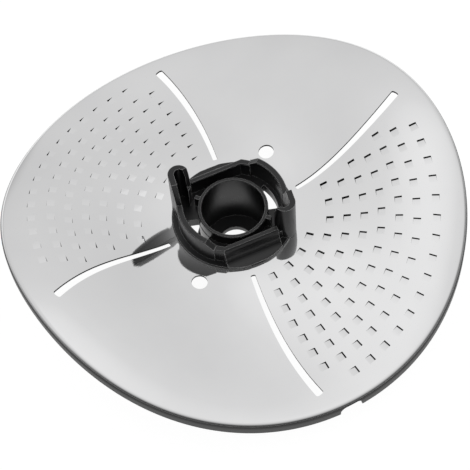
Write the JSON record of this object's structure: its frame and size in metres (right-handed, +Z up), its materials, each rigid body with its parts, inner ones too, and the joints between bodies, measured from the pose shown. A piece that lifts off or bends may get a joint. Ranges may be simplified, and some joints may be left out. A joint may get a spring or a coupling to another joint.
{
  "type": "food processor blade cover",
  "caption": "Round waved steel disc with swept slots, rows of small pressed tabs and a rolled skirt, held by a black plastic hub with two raised ears and a round drive socket.",
  "frame": {"origin": "on the hub's axis, in the plane of the disc's top face where the hub's flange grips it", "axes": "+Z up along the hub's axis, out of the open top of the centre tube; +X towards the right crest side as seen from the front, -Y towards the viewer"},
  "size_m": [0.1342, 0.1324, 0.0314],
  "materials": {
    "steel": "fine brushed, near polished",
    "plastic": "satin black"
  },
  "bodies": {
    "root": {"disc": "steel", "hub": "plastic"}
  },
  "joints": []
}
